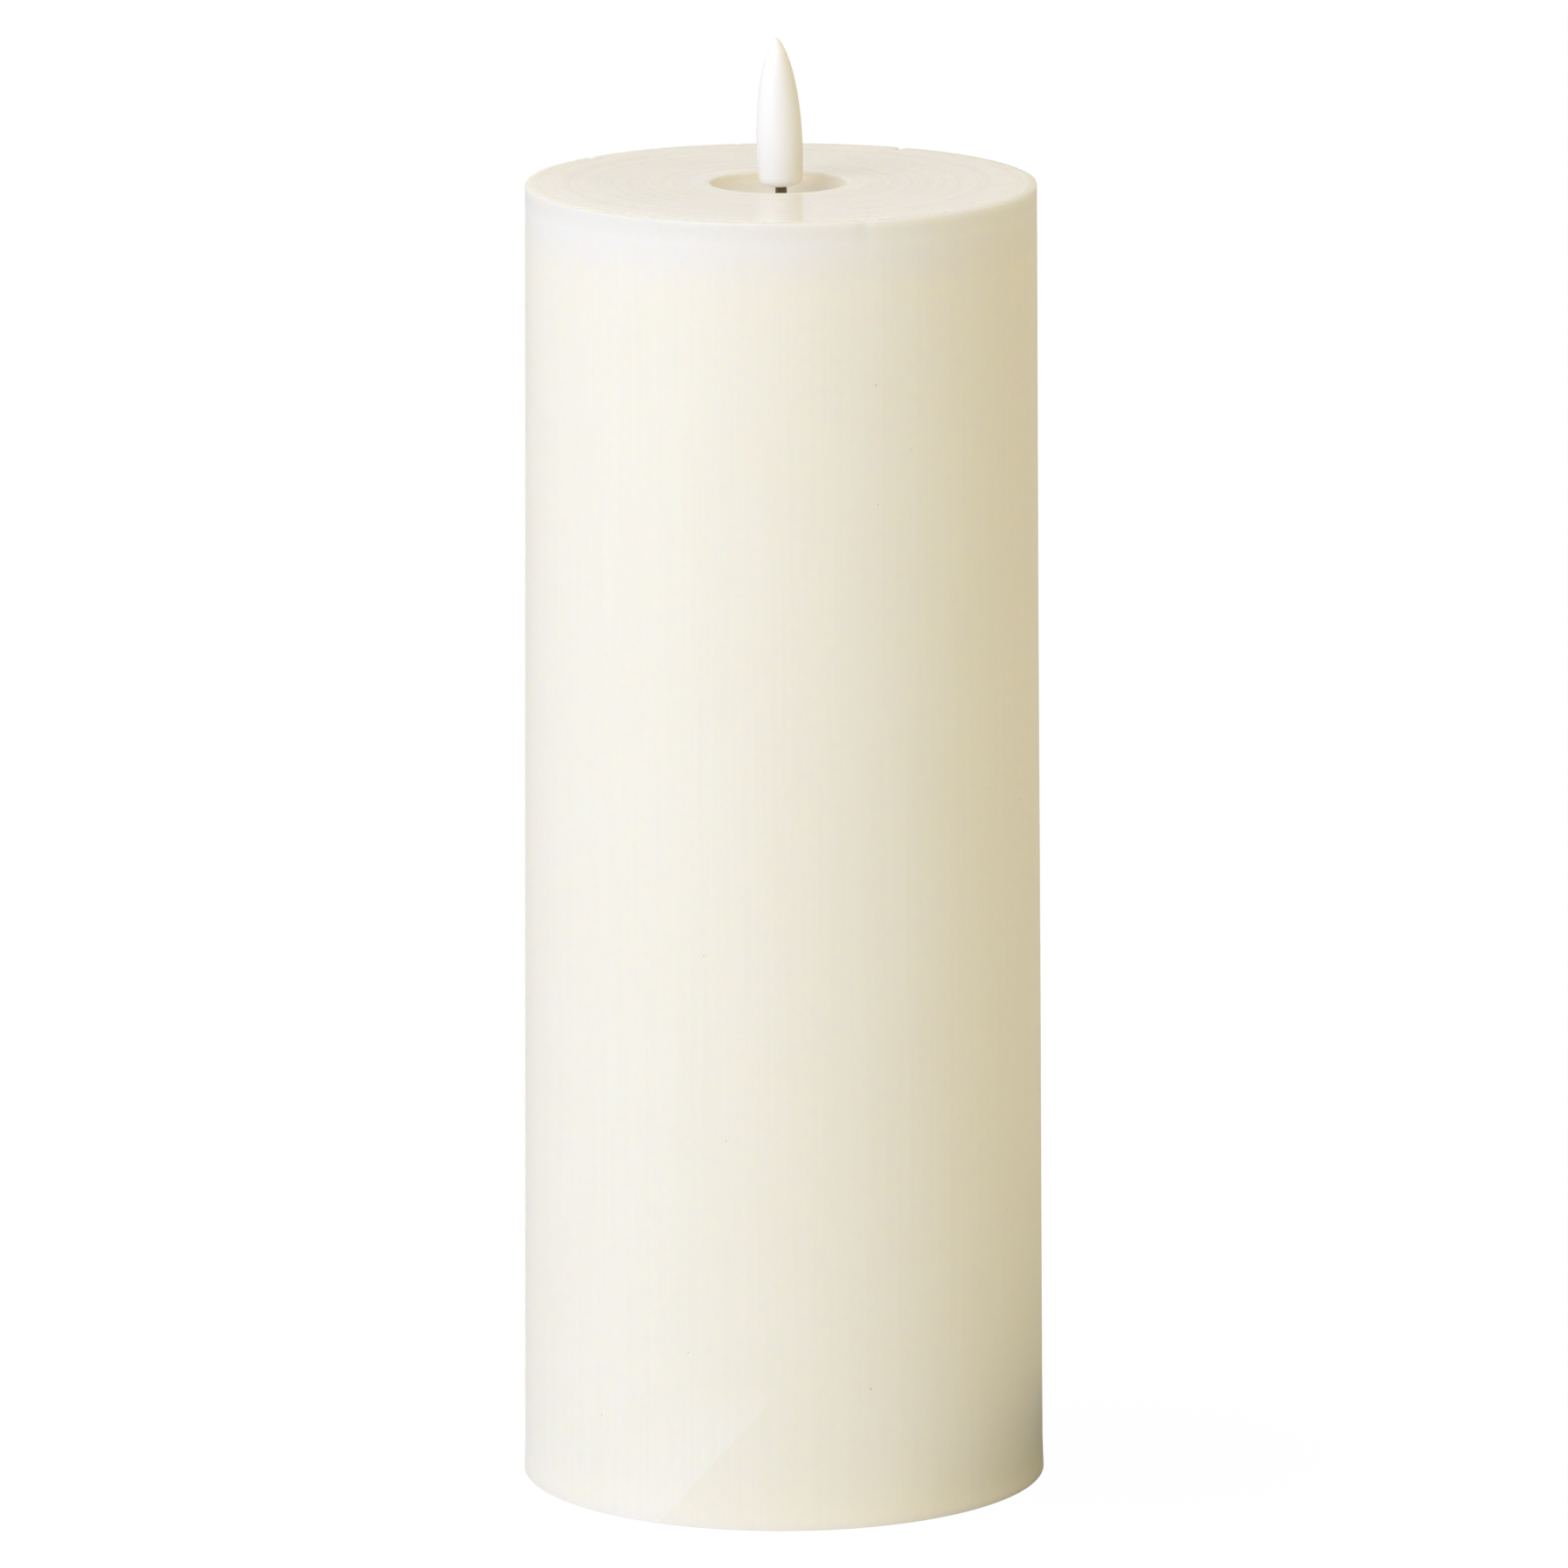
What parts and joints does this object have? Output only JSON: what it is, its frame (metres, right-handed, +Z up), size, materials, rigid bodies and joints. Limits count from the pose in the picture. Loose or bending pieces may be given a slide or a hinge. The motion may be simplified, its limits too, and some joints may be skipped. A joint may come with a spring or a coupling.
{
  "type": "flameless led candle",
  "caption": "Ivory wax pillar with a translucent flame on a short wick and a battery base with a hinged door and slide switch.",
  "frame": {"origin": "centre of the wax foot ring, on the plane that the candle stands on", "axes": "+Z up along the candle, front is -Y, the catch of the battery door is on -X"},
  "size_m": [0.1, 0.1, 0.2776],
  "materials": {
    "wax": "satin ivory paraffin wax, slightly translucent",
    "flame_plastic": "satin white translucent plastic",
    "wick_braid": "brown braided cotton",
    "led_resin": "clear yellowish epoxy",
    "base_plastic": "fine spark texture",
    "shrink_sleeve": "satin black",
    "red_insulation": "satin PVC",
    "black_insulation": "satin PVC",
    "hot_melt": "cloudy, glossy",
    "screw_steel": "zinc plated",
    "cell_wrapper": "plain printed film wrapper over a steel can",
    "contact_steel": "nickel plated spring steel",
    "board_laminate": "solder mask",
    "chip_epoxy": "moulded epoxy",
    "crystal_can": "drawn can",
    "capacitor_sleeve": "shrunk film sleeve",
    "resistor_body": "fired film on ceramic",
    "solder": "shiny tin solder",
    "switch_can": "plated sheet steel",
    "switch_nylon": "black nylon",
    "knob_plastic": "satin black ribbed plastic"
  },
  "bodies": {
    "candle": {"wax_shell": "wax", "flame_shell": "flame_plastic", "wick_sleeve": "wick_braid", "flame_led": "led_resin", "wick_plug": "base_plastic", "joint_sleeves": "shrink_sleeve", "flame_lead_red": "red_insulation", "flame_lead_black": "black_insulation", "base_housing": "base_plastic", "base_glue_ring": "hot_melt", "module_cover": "base_plastic", "cover_screws": "screw_steel", "aa_cell_1": "cell_wrapper", "aa_cell_2": "cell_wrapper", "positive_contact": "contact_steel", "negative_contact": "contact_steel", "bridge_contact": "contact_steel", "battery_lead_red": "red_insulation", "battery_lead_black": "black_insulation", "control_board": "board_laminate", "board_screws": "screw_steel", "timer_chip": "chip_epoxy", "timer_crystal": "crystal_can", "capacitor": "capacitor_sleeve", "resistors": "resistor_body", "solder_joints": "solder", "switch_body": "switch_can"},
    "switch": {"switch_actuator": "switch_nylon", "switch_knob": "knob_plastic"},
    "battery_door": {"battery_door": "base_plastic"},
    "door_latch": {"door_latch": "base_plastic"}
  },
  "joints": [
    {"name": "mode_slide", "type": "slide", "parent": "candle", "child": "switch", "axis": [1, 0, 0], "range_m": [-0.002, 0.002]},
    {"name": "door_hinge", "type": "hinge", "parent": "candle", "child": "battery_door", "pos_m": [0.0317, 0.004, 0.00275], "axis": [0, -1, 0], "range_deg": [0, 100]},
    {"name": "latch_flex", "type": "hinge", "parent": "battery_door", "child": "door_latch", "pos_m": [-0.0322, 0.004, 0.012], "axis": [0, -1, 0], "range_deg": [0, 9], "stiffness_Nm_per_rad": 0.25}
  ]
}
